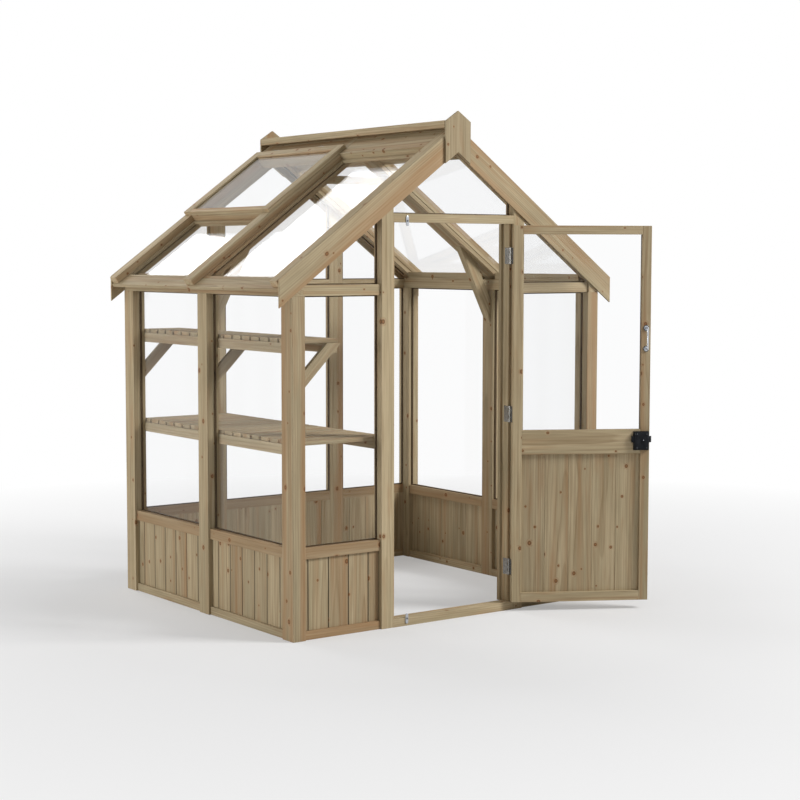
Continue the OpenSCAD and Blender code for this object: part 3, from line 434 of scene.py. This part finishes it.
def door_place(x, y, z):
    """Where a point of the shut door lies with the door as it stands open."""
    turn = Matrix.Rotation(math.radians(DOOR_OPEN), 4, "Z")
    return turn @ Vector((x - DOOR_PIN[0], y - DOOR_PIN[1], 0)) + Vector((DOOR_PIN[0], DOOR_PIN[1], z))


def turned(bm, profile, base, axis):
    """Spins a profile of (radius, height) points round an axis through the base, as on a lathe."""
    frame_of = axis.to_track_quat("Z", "Y").to_matrix().to_4x4()
    frame_of.translation = base
    verts = [bm.verts.new((r, 0.0, h)) for r, h in profile]
    edges = [bm.edges.new(pair) for pair in zip(verts, verts[1:])]
    made = bmesh.ops.spin(bm, geom=verts + edges, cent=(0, 0, 0), axis=(0, 0, 1), angle=math.tau, steps=28,
                          use_merge=True)
    grown = verts + [item for item in made["geom_last"] if isinstance(item, bmesh.types.BMVert)]
    reached = set(grown)
    for v in grown:
        for e in v.link_edges:
            other = e.other_vert(v)
            if other not in reached:
                reached.add(other)
                grown.append(other)
    grown = list(dict.fromkeys(grown))
    bmesh.ops.remove_doubles(bm, verts=grown, dist=1e-6)
    here = [v for v in grown if v.is_valid]
    bmesh.ops.recalc_face_normals(bm, faces=list(dict.fromkeys(f for v in here for f in v.link_faces)))
    bmesh.ops.transform(bm, matrix=frame_of, verts=here)


def screw_head(bm, base, axis, radius, rise):
    """A low domed screw head."""
    turned(bm, [(0.0, rise), (radius * 0.45, rise * 0.92), (radius * 0.8, rise * 0.6), (radius, 0.0),
                (radius, -0.0004), (0.0, -0.0004)], base, axis)


def stage_piece(name, bm, material):
    """A piece of the stage, which isn't part of the greenhouse."""
    mesh = bpy.data.meshes.new(name)
    bm.to_mesh(mesh)
    bm.free()
    mesh.materials.append(material)
    piece = bpy.data.objects.new(name, mesh)
    bpy.context.collection.objects.link(piece)


def panes(node):
    """A glass node keeps its shape and takes the glass finish."""
    mesh = frame["nodes"][node].data
    mesh.materials.clear()
    mesh.materials.append(finish_of("glass"))


# What a user may change

class GreenhouseLook(bpy.types.PropertyGroup):
    """Colours and edges of the greenhouse"""
    wood_pale: bpy.props.FloatVectorProperty(name="Pale timber", description="Colour of the pale early wood",
                                             subtype="COLOR", default=srgb(184, 167, 136), min=0, max=1)
    wood_deep: bpy.props.FloatVectorProperty(name="Deep timber", description="Colour of the darker grain lines",
                                             subtype="COLOR", default=srgb(128, 106, 74), min=0, max=1)
    wood_green: bpy.props.FloatVectorProperty(name="Treatment tint", description="Greenish tint of the preservative",
                                              subtype="COLOR", default=srgb(152, 142, 114), min=0, max=1)
    wood_warm: bpy.props.FloatVectorProperty(name="Warm bands", description="Colour of the redder bands of heartwood",
                                             subtype="COLOR", default=srgb(160, 122, 84), min=0, max=1)
    wood_knot: bpy.props.FloatVectorProperty(name="Knots", description="Colour of the knots",
                                             subtype="COLOR", default=srgb(132, 88, 52), min=0, max=1)
    sill_warmth: bpy.props.FloatProperty(name="Sill warmth", description="How far the sills have turned warm in colour",
                                         subtype="FACTOR", default=0.45, min=0.0, max=1.0)
    strip_dark_colour: bpy.props.FloatVectorProperty(name="Glazing strips", description="Colour of the thin pane strips",
                                               subtype="COLOR", default=srgb(84, 68, 48), min=0, max=1)
    glass_tint: bpy.props.FloatVectorProperty(name="Glass tint", description="Colour of light that passes a pane",
                                              subtype="COLOR", default=(0.985, 0.986, 0.987), min=0, max=1)
    hinge_colour: bpy.props.FloatVectorProperty(name="Hinges", description="Colour of the hinge plates",
                                                subtype="COLOR", default=(0.30, 0.29, 0.27), min=0, max=1)
    zinc_colour: bpy.props.FloatVectorProperty(name="Zinc", description="Colour of the pull and the turn buttons",
                                               subtype="COLOR", default=(0.52, 0.54, 0.57), min=0, max=1)
    black_colour: bpy.props.FloatVectorProperty(name="Black iron", description="Colour of the latch",
                                                subtype="COLOR", default=(0.007, 0.008, 0.010), min=0, max=1)
    frame_edge: bpy.props.FloatProperty(name="Frame edge", description="Width of the eased edges of the frame timbers",
                                        subtype="DISTANCE", unit="LENGTH", default=0.0016, min=0.0, max=0.004)
    board_edge: bpy.props.FloatProperty(name="Board edge", description="Width of the small bevel along each wall board",
                                        subtype="DISTANCE", unit="LENGTH", default=0.0006, min=0.0, max=0.002)
    trim_edge: bpy.props.FloatProperty(name="Trim edge", description="Width of the eased edges of beads and strips",
                                       subtype="DISTANCE", unit="LENGTH", default=0.0008, min=0.0, max=0.002)
    lens: bpy.props.FloatProperty(name="Lens", description="Focal length of the camera in millimetres",
                                  default=78.0, min=20, max=200)
    daylight: bpy.props.FloatProperty(name="Daylight", description="Strength of the even light from all round",
                                      default=0.3, min=0, max=2)


# Operators, one for each group of like pieces

class FrameTimbers(bpy.types.Operator):
    """Posts, studs, plates, sills and rails of the four walls"""
    bl_idname = "greenhouse.frame_timbers"
    bl_label = "Wall frames"

    def execute(self, context):
        for node in ("corner_posts", "side_posts", "door_posts", "rear_studs", "sole_plates", "threshold",
                     "eaves_plates", "end_top_rails", "transom", "door_jambs", "knee_braces", "collar_tie"):
            timber(node, look().frame_edge)
        timber("sills", look().frame_edge, "sill_wood")
        for node in ("eaves_fillets", "door_stops"):
            timber(node, look().trim_edge)
        for node in ("wall_beads", "gable_beads"):
            timber(node, look().trim_edge, "strip_wood")
        return {"FINISHED"}


class WallBoards(bpy.types.Operator):
    """Tongued and grooved boards under the sills"""
    bl_idname = "greenhouse.wall_boards"
    bl_label = "Wall boards"

    def execute(self, context):
        for node in ("boards_left", "boards_right", "boards_front", "boards_rear"):
            timber(node, look().board_edge, "board_wood", 1, grooved=True)
        return {"FINISHED"}


class RoofTimbers(bpy.types.Operator):
    """Rafters, ridge, cap, barge boards, finials and the strips of the roof"""
    bl_idname = "greenhouse.roof_timbers"
    bl_label = "Roof timbers"

    def execute(self, context):
        for node in ("end_rafters", "mid_rafters", "barge_boards", "finials", "ridge_board", "ridge_cap",
                     "eaves_boards", "roof_top_rails", "vent_trimmer"):
            timber(node, look().frame_edge, "finial_wood" if node == "finials" else None)
        for node in ("roof_beads", "roof_battens"):
            timber(node, look().trim_edge)
        return {"FINISHED"}


class RoofVent(bpy.types.Operator):
    """The opening roof vent: frame, pane and hinges"""
    bl_idname = "greenhouse.roof_vent"
    bl_label = "Roof vent"

    def execute(self, context):
        timber("vent_frame", look().frame_edge)
        panes("vent_glass")
        metal("vent_hinge_leaves", 0.0)
        metal("vent_hinge_bases", 0.0)
        return {"FINISHED"}


class Shelves(bpy.types.Operator):
    """The two slatted shelves on the left wall, with bearers, brackets and leg"""
    bl_idname = "greenhouse.shelves"
    bl_label = "Shelves"

    def execute(self, context):
        for node in ("shelf_bearers", "upper_slats", "lower_slats", "shelf_brackets", "shelf_leg"):
            timber(node, look().frame_edge)
        return {"FINISHED"}


class Panes(bpy.types.Operator):
    """Every fixed pane of the walls, the gables and the roof"""
    bl_idname = "greenhouse.panes"
    bl_label = "Panes"

    def execute(self, context):
        for node in ("side_glass", "front_glass", "rear_glass", "gable_glass", "roof_glass"):
            panes(node)
        return {"FINISHED"}


class Door(bpy.types.Operator):
    """The half-glazed door: stiles, rails, boards, beads and pane"""
    bl_idname = "greenhouse.door"
    bl_label = "Door"

    def execute(self, context):
        timber("door_stiles", look().frame_edge)
        timber("door_rails", look().frame_edge)
        timber("door_boards", 0.0, "board_wood")
        timber("door_beads", look().trim_edge, "strip_wood")
        panes("door_glass")
        return {"FINISHED"}


class Hardware(bpy.types.Operator):
    """Hinges, pull handle, rim latch and turn buttons"""
    bl_idname = "greenhouse.hardware"
    bl_label = "Hardware"

    def execute(self, context):
        metal("hinge_frame_leaves", 0.0, finish="hinge_zinc")
        metal("hinge_door_leaves", 0.0, finish="hinge_zinc")
        # painted shade: the button screws take the darkened zinc to show as the dark slot of each turn button
        metal("button_screws", 0.0, finish="shade_darkened_zinc")
        metal("pull_handle", 0.0)
        face = door_place(0, 1, 0) - door_place(0, 0, 0)
        bm = bmesh.new()
        # painted shade: dark zinc rings round the pull's feet stand in for the shading round the domed roses
        for z in PULL_FEET_Z:
            turned(bm, FOOT_RING, door_place(PULL_FEET_X, DOOR_FACE_Y, z), face)
        smooth_by_angle(new_piece("pull_foot_rings", bm, "shade_darkened_zinc", "pull_handle", False), 50)
        bm = bmesh.new()
        # the latch screws take the same darkened zinc
        for x, z in LATCH_SCREWS:
            screw_head(bm, door_place(x, LATCH_SCREWS_Y, z), face, 0.0026, 0.0009)
        smooth_by_angle(new_piece("latch_screws", bm, "shade_darkened_zinc", "latch_case", False), 50)
        bm = bmesh.new()
        screw_head(bm, door_place(*KEY_PLUG), face, 0.0021, 0.0012)
        smooth_by_angle(new_piece("latch_key_plug", bm, "zinc", "latch_case", False), 50)
        for node in ("upper_button", "lower_button"):
            metal(node, BUTTON_EDGE)
        metal("latch_case", METAL_EDGE)
        metal("latch_bolt", METAL_EDGE)
        return {"FINISHED"}


class Stage(bpy.types.Operator):
    """Pale floor, soft studio light and the camera"""
    bl_idname = "greenhouse.stage"
    bl_label = "Stage"

    def execute(self, context):
        self.lay_floor()
        self.light_world(context.scene)
        self.hang_card()
        self.hang_lamps()
        self.place_camera(context.scene)
        context.scene.view_settings.view_transform = "Standard"
        return {"FINISHED"}

    def lay_floor(self):
        bm = bmesh.new()
        bmesh.ops.create_circle(bm, cap_ends=True, segments=96, radius=FLOOR_RADIUS)
        g = Graph("pale_floor")
        place = g.add("ShaderNodeTexCoord", out=3)
        centred = g.add("ShaderNodeVectorMath", {0: place, 1: (0.0, -0.4, 0.0)}, operation="ADD")
        far = g.add("ShaderNodeVectorMath", {0: centred}, operation="LENGTH", out=1)
        plain = g.add("ShaderNodeBsdfDiffuse", {"Color": FLOOR_COLOUR})
        white = g.add("ShaderNodeEmission", {"Color": WHITE, "Strength": 1.0})
        lit = g.seen() * g.spread(far, *FLOOR_FADE)
        stage_piece("floor", bm, g.finish(g.add("ShaderNodeMixShader", {0: lit, 1: plain, 2: white})))

    def light_world(self, scene):
        scene.world = bpy.data.worlds.new("soft_studio")
        g = Graph("soft_studio", scene.world)
        around = g.add("ShaderNodeBackground", {"Color": WHITE, "Strength": look().daylight})
        behind = g.add("ShaderNodeBackground", {"Color": WHITE, "Strength": 1.0})
        g.finish(g.add("ShaderNodeMixShader", {0: g.seen(), 1: around, 2: behind}), "ShaderNodeOutputWorld")

    def hang_card(self):
        """A bright card that only mirrors see: it gives the roof panes of the front bay their white glare."""
        bm = bmesh.new()
        bm.faces.new([bm.verts.new(c) for c in CARD_CORNERS])
        g = Graph("bright_card_in_reflections")
        mirrored = g.add("ShaderNodeLightPath", out=3)
        unseen = g.add("ShaderNodeBsdfTransparent", {"Color": WHITE})
        bright = g.add("ShaderNodeEmission", {"Color": WHITE, "Strength": CARD_STRENGTH})
        stage_piece("bounce_card", bm, g.finish(g.add("ShaderNodeMixShader", {0: mirrored, 1: unseen, 2: bright})))

    def hang_lamps(self):
        for name, place, energy, size in LAMPS:
            lamp = bpy.data.lights.new(name, "AREA")
            lamp.energy = energy
            lamp.size = size
            holder = bpy.data.objects.new(name, lamp)
            bpy.context.collection.objects.link(holder)
            holder.location = place
            aim = Vector(LAMP_TARGET) - Vector(place)
            holder.rotation_euler = aim.to_track_quat("-Z", "Y").to_euler()

    def place_camera(self, scene):
        lens = bpy.data.cameras.new("photo_camera")
        lens.lens = look().lens
        lens.sensor_width = 36.0
        lens.clip_end = 100.0
        camera = bpy.data.objects.new("photo_camera", lens)
        bpy.context.collection.objects.link(camera)
        camera.location = CAMERA_PLACE
        camera.rotation_euler = [math.radians(turn) for turn in CAMERA_TURN]
        scene.camera = camera


OPERATORS = (FrameTimbers, WallBoards, RoofTimbers, RoofVent, Shelves, Panes, Door, Hardware, Stage)


class GreenhousePanel(bpy.types.Panel):
    """Lists the steps and the values of the greenhouse"""
    bl_idname = "VIEW3D_PT_greenhouse"
    bl_label = "Greenhouse"
    bl_space_type = "VIEW_3D"
    bl_region_type = "UI"
    bl_category = "Greenhouse"

    def draw(self, context):
        for name in GreenhouseLook.__annotations__:
            self.layout.prop(context.scene.greenhouse_look, name)
        for step in OPERATORS:
            self.layout.operator(step.bl_idname)


CLASSES = (GreenhouseLook,) + OPERATORS + (GreenhousePanel,)


def register():
    for c in CLASSES:
        bpy.utils.register_class(c)
    bpy.types.Scene.greenhouse_look = bpy.props.PointerProperty(type=GreenhouseLook)


def unregister():
    del bpy.types.Scene.greenhouse_look
    for c in reversed(CLASSES):
        bpy.utils.unregister_class(c)


def main():
    register()
    for step in OPERATORS:
        group, call = step.bl_idname.split(".")
        getattr(getattr(bpy.ops, group), call)()


if __name__ == "__main__":
    main()
